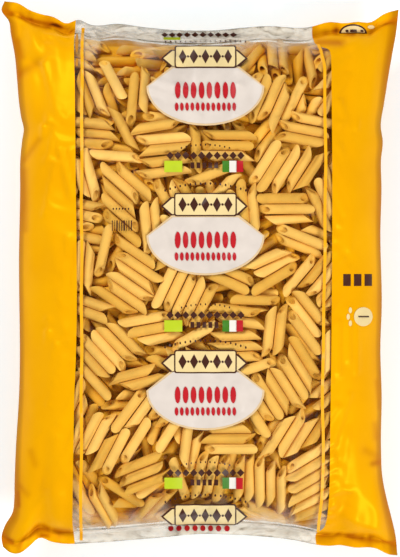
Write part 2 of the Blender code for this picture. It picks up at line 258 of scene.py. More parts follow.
def settle_heap():
    """Both ends of every tube's axis and its roll, once the heap presses up against the film.

    Neighbouring tubes start out nearly parallel. Each round lifts them all, pushes overlapping pairs
    apart and holds them in the bag. Places are rounded, so that the heap is the same on any computer.
    """
    rng = np.random.default_rng(HEAP_SEED)
    reach = (TUBE_LENGTH - TUBE_CUT) / 2
    half_length = (smooth_curve(TOP_EDGE, 0.0) - smooth_curve(BOTTOM_EDGE, 0.0)) / 2 - SEAL_DEPTH
    y = rng.uniform(-half_length, half_length, HEAP_COUNT)
    x = rng.uniform(-HEAP_HALF_WIDTH, HEAP_HALF_WIDTH, HEAP_COUNT)
    z = film_over_heap(x, y) - rng.uniform(0.004, HEAP_DEPTH, HEAP_COUNT)
    turn = np.sin(x * 40 - y * 13 + 0.7) + np.sin(y * 36 - x * 19 + 1.0)
    turn += rng.normal(0, HEAP_DISORDER, HEAP_COUNT)
    tilt = rng.normal(0, HEAP_TILT, HEAP_COUNT)
    heading = np.stack([np.cos(turn) * np.cos(tilt), np.sin(turn) * np.cos(tilt), np.sin(tilt)], 1)
    middle = np.stack([x, y, z], 1)
    low, high = middle - heading * reach, middle + heading * reach
    for step in range(HEAP_ROUNDS):
        if step % 10 == 0:
            centre = (low + high) / 2
            gap = centre[:, None] - centre[None]
            near = (gap * gap).sum(2) < (2 * reach + 4 * TUBE_RADIUS) ** 2
            first, second = np.nonzero(np.triu(near, 1))
        push_apart(low, high, first, second)
        lift = HEAP_LIFT * max(0.0, 1 - 1.5 * step / HEAP_ROUNDS)
        low[:, 2] += lift
        high[:, 2] += lift
        overhang = (high - low) * TUBE_CUT / (4 * reach)
        tips_low, tips_high = low - overhang, high + overhang
        hold_in_bag(low, tips_low, half_length)
        hold_in_bag(high, tips_high, half_length)
        centre, axis = (low + high) / 2, high - low
        axis *= reach / np.sqrt((axis * axis).sum(1))[:, None]
        low, high = np.round(centre - axis, 6), np.round(centre + axis, 6)
    clear_seals(low, high, half_length)
    return low, high, rng.uniform(0, 2 * math.pi, HEAP_COUNT)


def select_only(piece):
    """Makes the piece the one selected and active object."""
    bpy.ops.object.select_all(action="DESELECT")
    piece.select_set(True)
    bpy.context.view_layer.objects.active = piece


def places_of(mesh):
    """The mesh's points, one row each."""
    places = np.empty(len(mesh.vertices) * 3)
    mesh.vertices.foreach_get("co", places)
    return places.reshape(-1, 3)


def lay_values(mesh, name, values):
    """Stores a value at every point, for a material to read."""
    layer = mesh.attributes.new(name, "FLOAT", "POINT")
    layer.data.foreach_set("value", np.asarray(values, dtype=np.float32))


def model_tube():
    """One tube along Z round the origin: turned, bored, its ends softened and then slanted."""
    bpy.ops.mesh.primitive_cylinder_add(vertices=TUBE_SIDES, radius=TUBE_RADIUS,
                                        depth=TUBE_LENGTH - TUBE_CUT, end_fill_type="NGON")
    tube = bpy.context.active_object
    bpy.ops.object.mode_set(mode="EDIT")
    bpy.ops.mesh.select_mode(type="FACE")
    bpy.ops.mesh.select_all(action="DESELECT")
    bpy.ops.object.mode_set(mode="OBJECT")
    for face in tube.data.polygons:
        face.select = len(face.vertices) == TUBE_SIDES
    bpy.ops.object.mode_set(mode="EDIT")
    bpy.ops.mesh.inset(thickness=TUBE_EDGE, depth=0, use_individual=True)
    bpy.ops.mesh.inset(thickness=TUBE_RADIUS - TUBE_EDGE - TUBE_BORE, depth=0, use_individual=True)
    bpy.ops.mesh.bridge_edge_loops()
    bpy.ops.object.mode_set(mode="OBJECT")
    mesh = tube.data
    places = places_of(mesh)
    rim = np.hypot(places[:, 0], places[:, 1]) > TUBE_RADIUS - 1e-5
    places[rim, 2] -= np.sign(places[rim, 2]) * TUBE_EDGE
    places[:, 2] += places[:, 0] / TUBE_RADIUS * TUBE_CUT / 2
    faces = [tuple(face.vertices) for face in mesh.polygons]
    bpy.data.objects.remove(tube)
    return places, faces


def place_heap(lows, highs, rolls):
    """The heap as one mesh: a copy of the tube for each piece, each a little different in size."""
    places, faces = model_tube()
    rng = np.random.default_rng(HEAP_SEED + 1)
    all_places, all_faces, tones = [], [], []
    for number, (low, high, roll) in enumerate(zip(lows, highs, rolls)):
        axis = Vector(high - low)
        turn = axis.to_track_quat("Z", "Y").to_matrix() @ Matrix.Rotation(roll, 3, "Z")
        width, depth, length = rng.uniform(2 - SIZE_RANGE, SIZE_RANGE, 3)
        bow = rng.uniform(-BOW, BOW)
        own = places * (width * TUBE_SLIM, depth * TUBE_SLIM, length)
        own[:, 1] += bow * (1 - (own[:, 2] / (TUBE_LENGTH / 2)) ** 2)
        all_places.append(own @ np.array(turn).T + (low + high) / 2)
        start = number * len(places)
        all_faces.extend(tuple(start + corner for corner in face) for face in faces)
        tones.append(np.full(len(places), rng.uniform(0, 1)))
    mesh = bpy.data.meshes.new("pasta_tubes")
    mesh.from_pydata(np.concatenate(all_places).tolist(), [], all_faces)
    lay_values(mesh, "tone", np.concatenate(tones))
    x, y, z = np.concatenate(all_places).T
    # How deep each point lies under the film, which sets how much painted shade the pasta finish puts on
    # it.
    lay_values(mesh, "depth", film_over_heap(x, y) - z)
    heap = bpy.data.objects.new("pasta_tubes", mesh)
    bpy.context.scene.collection.objects.link(heap)
    select_only(heap)
    bpy.ops.object.shade_smooth_by_angle(angle=math.radians(40))
    return heap


def new_material(name):
    """A material made of nodes."""
    made = bpy.data.materials.new(name)
    made.use_nodes = True
    return made


def feed(made, node, **inputs):
    """Sets a node's inputs, or links those that are given another node's output."""
    for name, value in inputs.items():
        socket = node.inputs[name.replace("_", " ")]
        if isinstance(value, bpy.types.NodeSocket):
            made.node_tree.links.new(value, socket)
        else:
            socket.default_value = value
    return node


def add_node(made, kind, **inputs):
    """A new shader node with its inputs fed."""
    return feed(made, made.node_tree.nodes.new("ShaderNode" + kind), **inputs)


def feed_surface(made, **inputs):
    """Feeds the material's main shader."""
    feed(made, made.node_tree.nodes["Principled BSDF"], **inputs)


def stored(made, name):
    """A value laid on the piece's points."""
    node = add_node(made, "Attribute")
    node.attribute_name = name
    return node.outputs["Fac"]


def noise(made, scale, detail=2, twist=0, stretch=(1, 1, 1)):
    """Noise through the piece, finer along an axis with more stretch."""
    where = add_node(made, "TexCoord").outputs["Object"]
    place = add_node(made, "Mapping", Vector=where, Scale=stretch).outputs["Vector"]
    node = add_node(made, "TexNoise", Vector=place, Scale=scale, Detail=detail, Distortion=twist)
    return node.outputs["Fac"]


def spread(made, value, start, end, low=0, high=1):
    """The value, carried over from start and end to low and high."""
    node = add_node(made, "MapRange", Value=value, From_Min=start, From_Max=end, To_Min=low, To_Max=high)
    return node.outputs["Result"]


def shades(made, value, *stops):
    """Colours that follow a value, by stops of value and colour."""
    node = add_node(made, "ValToRGB", Fac=value)
    ramp = node.color_ramp.elements
    for element, (place, colour) in zip((ramp[0], ramp[1]), (stops[0], stops[-1])):
        element.position = place
        element.color = (*colour, 1)
    for place, colour in stops[1:-1]:
        ramp.new(place).color = (*colour, 1)
    return node.outputs["Color"]


def tinted(made, share, colour, tint, blend="MIX"):
    """The colour, moved to the tint by that share."""
    node = add_node(made, "Mix")
    node.data_type = "RGBA"
    node.blend_type = blend
    feed(made, node, Factor=share, A=colour, B=(*tint, 1))
    return node.outputs["Result"]


def bumps(made, height, strength, distance):
    """Normals of a rough surface."""
    node = add_node(made, "Bump", Height=height, Strength=strength, Distance=distance)
    return node.outputs["Normal"]


def pasta_finish():
    """Dry durum pasta: straw yellow, each tube a slightly other shade, faintly grained and mottled."""
    made = new_material("dry_pasta")
    shade = shades(made, stored(made, "tone"), (0, (0.69, 0.37, 0.055)), (1, (0.91, 0.565, 0.145)))
    mottled = add_node(made, "VectorMath")
    mottled.operation = "SCALE"
    feed(made, mottled, Vector=shade, Scale=spread(made, noise(made, 70), 0.3, 0.7, 0.92, 1.05))
    # Painted shade: the deeper a point lies under the film, the browner it is painted.
    painted_shade = spread(made, stored(made, "depth"), PAINTED_SHADE_START * TUBE_RADIUS, PAINTED_SHADE_END * TUBE_RADIUS)
    colour = tinted(made, painted_shade, mottled.outputs["Vector"], PAINTED_SHADE_TINT, "MULTIPLY")
    grain = bumps(made, noise(made, 420, 3), 0.12, 0.0004)
    feed_surface(made, Base_Color=colour, Roughness=0.55, Specular_IOR_Level=0.12,
                 Specular_Tint=(1.0, 0.8, 0.4, 1), Normal=grain)
    return made


tube_lows, tube_highs, tube_rolls = settle_heap()
pasta = place_heap(tube_lows, tube_highs, tube_rolls)
pasta.data.materials.append(pasta_finish())
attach(pasta, "root")


# The film
# Oriented polypropylene, clear in the window and printed yellow on the sides and the back. One sheet,
# turned into a tube, is filled and welded at both ends. The welds are melted together and ribbed by
# the jaws. Front and back share a grid, whose columns follow the wavering edges of the yellow print.

PANEL_COLUMNS = 30
WINDOW_COLUMNS = 104
BODY_ROWS = 236
SEAL_ROWS = 6
WINDOW_PULL = 0.04

# Where the yellow print ends on either side of the window, as points (y, x).
LEFT_PRINT_EDGE = (
    (-0.245, -0.1165), (-0.232, -0.1178), (-0.205, -0.1176), (-0.150, -0.1165), (-0.110, -0.1158),
    (-0.085, -0.1147), (0.115, -0.1147), (0.180, -0.1155), (0.225, -0.1163), (0.245, -0.1150),
)
RIGHT_PRINT_EDGE = (
    (-0.250, 0.1080), (-0.236, 0.1095), (-0.232, 0.1140), (-0.225, 0.1168), (-0.215, 0.1181),
    (-0.205, 0.1190), (-0.191, 0.1195), (-0.144, 0.1199), (-0.117, 0.1203), (0.0, 0.1215),
    (0.100, 0.1218), (0.178, 0.1213), (0.200, 0.1212), (0.207, 0.1208), (0.2125, 0.1183),
    (0.2165, 0.1115), (0.2205, 0.1070), (0.2255, 0.1052), (0.245, 0.1045),
)


def coons_patch(outer, inner, ends_low, ends_high, s, t):
    """Points of the sheet that spans four edges: s runs from outer to inner edge, t from end to end."""
    s, t = s[..., None], t[..., None]
    ruled = (1 - s) * outer + s * inner + (1 - t) * ends_low + t * ends_high
    corners = (1 - t) * ((1 - s) * outer[:, :1] + s * inner[:, :1])
    corners = corners + t * ((1 - s) * outer[:, -1:] + s * inner[:, -1:])
    return ruled - corners


def panel_points(line, edge, shares, rows):
    """x, y of a side panel: from its outer edge, where shares is 0, to the line beside the window."""
    y_ends = np.array([edge[0][0], edge[-1][0]])
    outer_y = y_ends[0] + rows * (y_ends[1] - y_ends[0])
    outer = np.stack([smooth_curve(edge, outer_y), outer_y], -1)
    inner_ends = smooth_curve(BOTTOM_EDGE, np.array([line])), smooth_curve(TOP_EDGE, np.array([line]))
    inner_y = inner_ends[0] + rows * (inner_ends[1] - inner_ends[0])
    inner = np.stack([np.full_like(rows, line), inner_y], -1)
    ends = []
    for curve, row in ((BOTTOM_EDGE, 0), (TOP_EDGE, -1)):
        x = outer[row, 0] + shares * (line - outer[row, 0])
        y = smooth_curve(curve, x)
        y = y + (1 - shares) * (outer[row, 1] - y[0])
        ends.append(np.stack([x, y], -1))
    s, t = np.meshgrid(shares, rows, indexing="ij")
    return coons_patch(outer[None], inner[None], ends[0][:, None], ends[1][:, None], s, t)


def pull_to_print(points, across, rows):
    """Draws the columns by the window sideways, so that the edges of the yellow print waver."""
    x, y = points[..., 0], points[..., 1]
    shift = np.zeros_like(x)
    for line, edge in ((WINDOW_LEFT, LEFT_PRINT_EDGE), (WINDOW_RIGHT, RIGHT_PRINT_EDGE)):
        near = np.clip(1 - np.abs(x - line) / WINDOW_PULL, 0, 1)
        shift += near * near * (3 - 2 * near) * (smooth_curve(edge, y) - line)
    top = smooth_curve(TOP_EDGE, x + shift) - smooth_curve(TOP_EDGE, x)
    bottom = smooth_curve(BOTTOM_EDGE, x + shift) - smooth_curve(BOTTOM_EDGE, x)
    moved = np.stack([x + shift, y + rows * top + (1 - rows) * bottom], -1)
    return moved, across + shift / BODY_HALF_WIDTH


def film_columns():
    """x, y and the shares across and along the packet, for every column and row of the film's grid."""
    ease = 1 - np.cos(np.linspace(0, math.pi / 2, PANEL_COLUMNS + 1))
    seal = SEAL_DEPTH / (smooth_curve(TOP_EDGE, 0.0) - smooth_curve(BOTTOM_EDGE, 0.0))
    bend = np.sin(np.linspace(-math.pi / 2, math.pi / 2, BODY_ROWS + 1))
    even = np.linspace(-1, 1, BODY_ROWS + 1)
    body = 0.5 + (0.5 - seal) * (0.72 * even + 0.28 * bend)
    ends = np.linspace(0, seal, SEAL_ROWS + 1)[:-1]
    rows = np.concatenate([ends, body, 1 - ends[::-1]])
    left = panel_points(WINDOW_LEFT, LEFT_EDGE, ease, rows)
    right = panel_points(WINDOW_RIGHT, RIGHT_EDGE, ease, rows)[::-1]
    x = np.linspace(WINDOW_LEFT, WINDOW_RIGHT, WINDOW_COLUMNS + 1)[1:-1]
    low, high = smooth_curve(BOTTOM_EDGE, x)[:, None], smooth_curve(TOP_EDGE, x)[:, None]
    window = np.stack([np.broadcast_to(x[:, None], (len(x), len(rows))), low + rows * (high - low)], -1)
    left_share = -1 + ease * (1 + WINDOW_LEFT / BODY_HALF_WIDTH)
    right_share = 1 - ease * (1 - WINDOW_RIGHT / BODY_HALF_WIDTH)
    across = np.concatenate([left_share, x / BODY_HALF_WIDTH, right_share[::-1]])
    points = np.concatenate([left, window, right])
    along = np.clip((rows - 0.5) / (0.5 - seal), -1, 1)
    in_seal = np.clip((np.abs(rows - 0.5) - 0.5 + seal) / seal, 0, 1)
    shape = points.shape[:2]
    points, across = pull_to_print(points, np.broadcast_to(across[:, None], shape), rows)
    return points, across, np.broadcast_to(along, shape), np.broadcast_to(in_seal, shape)


# Short puckers stand along each weld, longer folds run in from the four ears,
# and the stiff film keeps soft dents all over.
HALF_LENGTH = 0.225
PUCKER_COUNT = 64
PUCKER_SEED = 21
EAR_FOLDS = 7
DENT_SEED = 31
DENT_WAVES = 14
FILM_SAG = 0.14
FILM_LIFT = 0.0003
END_LIFT = 0.0012
END_LIFT_REACH = 0.012

# Each crease: start x and y, end x and y, half width, height, and how much deeper its colour is.
# The deeper colour is painted shade in the crease and under the turned weld, partly also two layers of
# film.
CREASES = (
    (-0.1690, 0.2435, -0.1325, 0.2355, 0.0014, -0.0010, 0.60),
    (-0.1325, 0.2355, -0.1180, 0.2290, 0.0014, -0.0010, 0.70),
    (-0.1390, 0.2370, -0.1360, 0.2360, 0.0015, 0.0, 1.90),
    (-0.1330, 0.2352, -0.1290, 0.2335, 0.0016, 0.0, 1.90),
    (-0.1580, 0.2413, -0.1575, 0.2411, 0.0010, 0.0, 1.20),
    (-0.1790, 0.2480, -0.1660, 0.2455, 0.0032, 0.0, 0.40),
    (-0.1620, 0.2390, -0.1440, 0.2060, 0.0060, 0.0028, 0.0),
    (-0.1690, 0.2200, -0.1650, 0.2060, 0.0035, -0.0012, 0.40),
    (-0.1665, 0.1900, -0.1507, 0.2000, 0.0042, -0.0020, 0.40),
    (-0.1628, 0.1097, -0.1488, 0.1283, 0.0030, -0.0017, 0.42),
    (-0.1622, 0.1000, -0.1618, 0.0450, 0.0032, -0.0009, 0.36),
    (-0.1565, -0.1600, -0.1525, -0.1720, 0.0032, -0.0010, 0.32),
    (-0.1665, -0.1930, -0.1600, -0.2000, 0.0030, -0.0008, 0.32),
    (-0.1692, -0.1990, -0.1682, -0.2110, 0.0020, 0.0, 0.60),
    (-0.1340, -0.2335, -0.1220, -0.2345, 0.0028, 0.0, 0.75),
    (-0.1487, -0.2388, -0.1405, -0.2395, 0.0014, 0.0, 0.80),
    (-0.1815, -0.2435, -0.1720, -0.2475, 0.0022, 0.0, 0.55),
    (-0.1600, -0.2330, -0.1380, -0.1990, 0.0065, 0.0022, 0.0),
    (0.1600, -0.1715, 0.1670, -0.1705, 0.0030, -0.0010, 0.75),
    (0.1535, -0.1590, 0.1635, -0.1646, 0.0038, -0.0012, 0.35),
    (0.1620, -0.1350, 0.1630, -0.1470, 0.0032, -0.0008, 0.30),
    (0.1635, -0.0950, 0.1660, -0.1200, 0.0022, -0.0006, 0.35),
    (0.1295, -0.2375, 0.1825, -0.2470, 0.0015, -0.0010, 0.55),
    (0.1480, -0.2435, 0.1650, -0.2455, 0.0020, 0.0, 0.40),
    (0.1355, -0.2215, 0.1620, -0.2335, 0.0050, 0.0022, 0.0),
    (0.1090, 0.2190, 0.1300, 0.2185, 0.0040, -0.0010, 0.80),
    (0.1250, 0.2315, 0.1280, 0.2295, 0.0019, 0.0, 1.90),
    (0.1642, 0.2367, 0.1840, 0.2413, 0.0015, -0.0008, 0.55),
)


def puckers(x, y, along, end):
    """Short folds that stand off the weld at one end, +1 or -1."""
    rng = np.random.default_rng(PUCKER_SEED + (end > 0))
    from_seal = (1 - end * along) * HALF_LENGTH
    height = np.zeros_like(x)
    for _ in range(PUCKER_COUNT):
        place, lean = rng.uniform(-0.165, 0.165), rng.normal(0, 0.18)
        width, length, rise = rng.uniform(0.0022, 0.0062), rng.uniform(0.010, 0.038), rng.normal(0, 0.0011)
        off = (x - place - lean * from_seal) / (width * (1 + from_seal / 0.05))
        height += rise * np.exp(-off * off) * np.exp(-from_seal / length)
    return height * np.clip(from_seal / 0.004, 0, 1) * (end * along > 0)


def ear_folds(x, y):
    """Folds that run from the ears into the filled body."""
    rng = np.random.default_rng(PUCKER_SEED + 5)
    height = np.zeros_like(x)
    for side in (-1, 1):
        for end in (-1, 1):
            for _ in range(EAR_FOLDS):
                angle = rng.uniform(0.25, 1.35)
                start_x, start_y = side * rng.uniform(0.140, 0.168), end * rng.uniform(0.205, 0.232)
                way_x, way_y = -side * math.cos(angle), -end * math.sin(angle)
                length, width = rng.uniform(0.035, 0.085), rng.uniform(0.003, 0.0075)
                rise = rng.uniform(0.0007, 0.0022) * rng.choice((-1.0, 1.0))
                run = ((x - start_x) * way_x + (y - start_y) * way_y) / length
                broader = 0.6 + 0.8 * np.clip(run, 0, 1)
                off = ((x - start_x) * way_y - (y - start_y) * way_x) / (width * broader)
                fade = np.clip(run / 0.15, 0, 1) * np.clip(1 - run, 0, 1) ** 1.5
                height += rise * np.exp(-off * off) * fade
    return height


def creases(x, y):
    """Heights of the creases that stand out, and how much painted shade they put on the print's colour."""
    height, deeper = np.zeros_like(x), np.zeros_like(x)
    for start_x, start_y, end_x, end_y, width, rise, colour in CREASES:
        length = math.hypot(end_x - start_x, end_y - start_y)
        way_x, way_y = (end_x - start_x) / length, (end_y - start_y) / length
        run = (x - start_x) * way_x + (y - start_y) * way_y
        off = (x - start_x) * way_y - (y - start_y) * way_x
        beyond = np.maximum(np.maximum(-run, run - length), 0)
        near = np.exp(-(off * off + beyond * beyond) / (width * width))
        height += rise * near
        deeper += colour * near
    return height, deeper


def dents(x, y, size, seed):
    """Soft random waves, longer along the packet than across it."""
    rng = np.random.default_rng(DENT_SEED + seed)
    height = np.zeros_like(x)
    for _ in range(DENT_WAVES):
        length, heading = size * rng.uniform(0.7, 1.8), rng.normal(0, 0.7)
        start = rng.uniform(0, 2 * math.pi)
        run = x * math.cos(heading) + 0.45 * y * math.sin(heading)
        height += np.sin(2 * math.pi * run / length + start)
    return height / math.sqrt(DENT_WAVES)


def pasta_top(x, y):
    """Height of the highest tube over each point, or far below where there is none."""
    top = np.full(x.shape, -1.0)
    for low, high in zip(tube_lows, tube_highs):
        axis = high - low
        tip = axis * TUBE_CUT / (2 * (TUBE_LENGTH - TUBE_CUT))
        start, way = low - tip, axis + 2 * tip
        radius = TUBE_RADIUS * SIZE_RANGE
        west, south, _ = np.minimum(start, start + way) - radius - 0.001
        east, north, _ = np.maximum(start, start + way) + radius + 0.001
        box = (x > west) & (x < east) & (y > south) & (y < north)
        px, py = x[box] - start[0], y[box] - start[1]
        flat = way[0] ** 2 + way[1] ** 2
        run = (px * way[0] + py * way[1]) / flat
        off = (px - run * way[0]) ** 2 + (py - run * way[1]) ** 2
        over = (off < radius ** 2) & (run > -0.02) & (run < 1.02)
        height = start[2] + run * way[2] + np.sqrt(np.clip(radius ** 2 - off, 0, None)) + BOW
        top[box] = np.where(over, np.maximum(top[box], height), top[box])
    return top


def softened(height, rounds):
    """The grid of heights, evened out with its neighbours that many times."""
    for _ in range(rounds):
        padded = np.pad(height, 1, mode="edge")
        beside = padded[:-2, 1:-1] + padded[2:, 1:-1] + padded[1:-1, :-2] + padded[1:-1, 2:]
        height = (beside + 4 * height) / 8
    return height


def widened(height):
    """Each point as high as the highest of its neighbours."""
    padded = np.pad(height, 1, mode="edge")
    across = np.maximum(np.maximum(padded[:-2], padded[2:]), padded[1:-1])
    return np.maximum(np.maximum(across[:, :-2], across[:, 2:]), across[:, 1:-1])


def drape(base, pasta_height, on_body, lift):
    """The film let down a little between the tubes, and never through them."""
    depth = np.clip(base - pasta_height - FILM_GAP, 0, 0.007)
    film = base - softened(depth, 3) * FILM_SAG * on_body
    floor = np.minimum(widened(pasta_height), pasta_height + 0.0012) + lift
    for _ in range(4):
        film = np.maximum(softened(film, 1) * on_body + film * (1 - on_body), floor)
    return film


FILM_THICKNESS = 0.0005
RIB_PITCH = 0.0016
RIB_DEPTH = 0.00012
WELD_TURN = 0.0032
WELD_FLUTTER = 0.0007
WELD_LINE = 0.0026
WINDOW_HAZE = 0.002
END_HAZE = 0.55
WELD_HAZE = 0.12
HAZE_REACH = 0.0105
BODY_FADE = 0.03
PANEL_MARGIN, PANEL_FADE = 0.012, 0.02
BACK_DENTS = 0.0006
BACK_CLEAR = 0.97
# Painted shade on the sides, where the film turns down, and the width of that band.
SIDE_PAINTED_SHADE, SIDE_FOLD = 0.5, 0.0065
RIM_WIDTH = 0.008
OUTLINE_WIDTH = 0.0011
# Painted light in the clear film's haze: whiter at the bottom end and the top right, greyer at the top
# left. The last number makes the haze greyer along the outline.
PAINTED_LIGHT_BOTTOM = 0.11
PAINTED_LIGHT_TOP = -0.035
PAINTED_LIGHT_CORNER = 0.09
PALE_RIM = -0.2

# Each size of dent: its height all over, its further height on the side panels, its length and seed.
DENTS = (
    (0.00035, 0.0009, 0.055, 1),
    (0.0, 0.0004, 0.027, 7),
    (0.00018, 0.0, 0.016, 2),
)


def front_relief(x, y, across, along, on_body):
    """Height of the front film with its puckers, folds, creases and dents, before it drapes."""
    height = film_top(x, y, across, along)
    height = height + puckers(x, y, along, 1) + puckers(x, y, along, -1)
    height = height + (ear_folds(x, y) + creases(x, y)[0]) * on_body
    panel = np.clip((np.maximum(WINDOW_LEFT - x, x - WINDOW_RIGHT) + PANEL_MARGIN) / PANEL_FADE, 0, 1)
    for all_over, on_panel, size, seed in DENTS:
        height = height + (all_over + on_panel * panel) * dents(x, y, size, seed) * on_body
    return height


def weld_relief(x, y, in_seal):
    """How far the welds stand off their plane: they flutter, are ribbed and turn up at the ends."""
    flutter = dents(x, 0 * y, 0.022, 3) + 0.6 * dents(x, 0 * y, 0.009, 4)
    ribs = RIB_DEPTH * np.sin(2 * math.pi * in_seal * SEAL_DEPTH / RIB_PITCH) * (in_seal > 0)
    turned_up = WELD_TURN * in_seal * (1 + 0.5 * dents(x, 0 * y, 0.06, 6))
    return WELD_FLUTTER * flutter * in_seal + ribs + turned_up


def milkiness(x, y, from_seal, in_seal):
    """How white the clear film is: hardly in the window, more where it gathers along the welds."""
    reach = 1 + 0.4 * dents(x, 0 * y, 0.05, 14) + 0.3 * dents(x, y, 0.018, 15)
    gathered = np.exp(-(from_seal / (HAZE_REACH * np.clip(reach, 0.4, 2))) ** 1.6)
    return WELD_HAZE * np.clip(in_seal / 0.4, 0, 1) + WINDOW_HAZE + END_HAZE * gathered


def ink_and_shade_at_folds(x, y, from_seal, in_seal, from_side):
    """How much the welds' inner lines, patches in the welds and the sides deepen the print, partly as
    painted shade.
    """
    # The welds' inner lines: painted shade in the crease beside each weld, over two layers of film.
    width = WELD_LINE * (1 + 0.6 * dents(x, 0 * y, 0.028, 10))
    line = np.exp(-(from_seal / width) ** 2) * np.exp(-(in_seal * SEAL_DEPTH / width) ** 2)
    line *= 0.6 + 0.45 * dents(x, 0 * y, 0.02, 9) + 0.25 * dents(x, 0 * y, 0.007, 12)
    # Patches in the welds, where the film lies in two layers.
    patches = np.clip(0.06 + 0.3 * dents(x, y, 0.012, 11), 0, 1) * (in_seal > 0)
    # Painted shade on the sides, where the film turns down.
    side = SIDE_PAINTED_SHADE * np.exp(-(from_side / SIDE_FOLD) ** 2) * (1 - 0.8 * in_seal)
    side *= np.clip(0.8 + 0.5 * dents(0 * x, y, 0.05, 13) + 0.3 * dents(x, y, 0.02, 16), 0, 1.4)
    return line + patches + side


def film_layers(x, y, from_seal, in_seal, from_side):
    """The values that the finishes read, each for the front and the back sheet."""
    fold_ink_and_shade = ink_and_shade_at_folds(x, y, from_seal, in_seal, from_side)
    _, crease_ink_and_shade = creases(x, y)
    doubled_and_shade = np.clip(fold_ink_and_shade + crease_ink_and_shade, 0, 1) + np.clip(crease_ink_and_shade - 1, 0, 1)
    haze = milkiness(x, y, from_seal, in_seal)
    outline = np.maximum(np.exp(-(from_side / OUTLINE_WIDTH) ** 2), np.clip(in_seal * 5 - 4, 0, 1))
    # The rim: painted shade near the sides, where the film turns down, and rougher film there and along
    # the outline.
    reach = RIM_WIDTH * np.clip(1 + 0.3 * dents(0 * x, y, 0.07, 17), 0.5, 1.6)
    rim = np.maximum(np.exp(-(from_side / reach) ** 2), 0.55 * outline)
    # Painted light: the haze is painted whiter at the bottom end and the top right, greyer at the top
    # left.
    pale = np.where(y < 0, PAINTED_LIGHT_BOTTOM, PAINTED_LIGHT_TOP + PAINTED_LIGHT_CORNER * np.clip(x / 0.06, 0, 1))
    pale = pale + PALE_RIM * outline
    return {"doubled_and_shade": (doubled_and_shade, np.clip(fold_ink_and_shade, 0, 1)), "haze": (haze, haze), "rim": (rim, rim),
            "pale": (pale, pale)}


def film_shape():
    """Grid points, the values laid on them, and the heights of the front and back film."""
    points, across, along, in_seal = film_columns()
    x, y = points[..., 0], points[..., 1]
    to_seal, to_side = 1 - np.abs(along), 1 - np.abs(across)
    on_body = np.clip(to_seal / BODY_FADE, 0, 1) * np.clip(to_side / BODY_FADE, 0, 1)
    from_seal, from_side = to_seal * HALF_LENGTH, to_side * BODY_HALF_WIDTH
    relief = front_relief(x, y, across, along, on_body)
    lift = FILM_LIFT + END_LIFT * np.exp(-from_seal / END_LIFT_REACH)
    front = drape(relief, pasta_top(x, y), on_body, lift)
    under = film_under(x, y, across, along)
    edge = np.clip(under / 0.01, 0, 1)
    under = under + BACK_DENTS * dents(x, y, 0.05, 5) * edge * on_body
    weld, thick = weld_relief(x, y, in_seal), FILM_THICKNESS / 2
    back = np.maximum(under + weld - thick * edge, 0.0)
    layers = film_layers(x, y, from_seal, in_seal, from_side)
    return points, layers, front + weld + thick, back


def lay_sheet(name, points, heights):
    """A grid of film, with its points set where the sheet lies."""
    columns, rows = heights.shape
    bpy.ops.mesh.primitive_grid_add(x_subdivisions=rows - 1, y_subdivisions=columns - 1, size=2)
    sheet = bpy.context.active_object
    sheet.name = name
    start = places_of(sheet.data)
    order = np.lexsort((np.round(start[:, 0], 5), np.round(start[:, 1], 5)))
    places = np.empty_like(start)
    places[order] = np.concatenate([points.reshape(-1, 2), heights.reshape(-1, 1)], 1)
    sheet.data.vertices.foreach_set("co", places.reshape(-1))
    return sheet, order


def close_film():
    """Front and back sheets, joined round the rim, and the column that each vertex is in."""
    points, layers, front_height, back_height = film_shape()
    front, order = lay_sheet("film", points, front_height)
    back, _ = lay_sheet("back", points, back_height)
    select_only(front)
    back.select_set(True)
    bpy.ops.object.join()
    bpy.ops.object.mode_set(mode="EDIT")
    bpy.ops.mesh.select_mode(type="EDGE")
    bpy.ops.mesh.select_all(action="DESELECT")
    bpy.ops.mesh.select_non_manifold(extend=False)
    bpy.ops.mesh.bridge_edge_loops()
    bpy.ops.mesh.select_all(action="SELECT")
    bpy.ops.mesh.normals_make_consistent(inside=False)
    bpy.ops.object.mode_set(mode="OBJECT")
    for name, values in layers.items():
        laid = np.empty((2, len(order)))
        laid[0, order], laid[1, order] = (sheet.reshape(-1) for sheet in values)
        lay_values(front.data, name, laid.reshape(-1))
    columns = np.empty(len(order), dtype=int)
    columns[order] = np.repeat(np.arange(points.shape[0]), points.shape[1])
    return front, np.concatenate([columns, columns])


def yellow_finish():
    """Yellow print on glossy film, deeper where it lies in two layers and where shade is painted on it."""
    made = new_material("yellow_film")
    rim_shade_and_roughness, doubled_and_shade = stored(made, "rim"), stored(made, "doubled_and_shade")
    colour = shades(made, noise(made, 14, 4), (0.3, (0.78, 0.338, 0.0004)), (0.7, (0.84, 0.388, 0.0004)))
    for layer, start, end, deeper in (
        # Painted shade at the rim, where the film turns down away from the light.
        (rim_shade_and_roughness, 0.62, 1.2, (0.26, 0.108, 0.002)),
        # Deeper colour where the film lies in two layers, and painted shade in creases, along welds and on
        # the sides.
        (doubled_and_shade, 0, 1, (0.48, 0.135, 0.001)),
        (doubled_and_shade, 1, 2, (0.10, 0.018, 0.002)),
    ):
        colour = tinted(made, spread(made, layer, start, end), colour, deeper)
    crinkle = bumps(made, noise(made, 90, 5), 0.25, 0.0006)
    feed_surface(made, Base_Color=colour, Metallic=0.10, Roughness=spread(made, rim_shade_and_roughness, 0, 1, 0.38, 0.6),
                 Specular_IOR_Level=0.06, Specular_Tint=(1.0, 0.75, 0.2, 1), Normal=crinkle)
    return made


def combined(made, operation, first, second):
    """Two values added or multiplied, and kept from 0 to 1 where they are multiplied."""
    node = add_node(made, "Math")
    node.operation = operation
    node.use_clamp = operation == "MULTIPLY"
    made.node_tree.links.new(first, node.inputs[0])
    made.node_tree.links.new(second, node.inputs[1])
    return node.outputs["Value"]


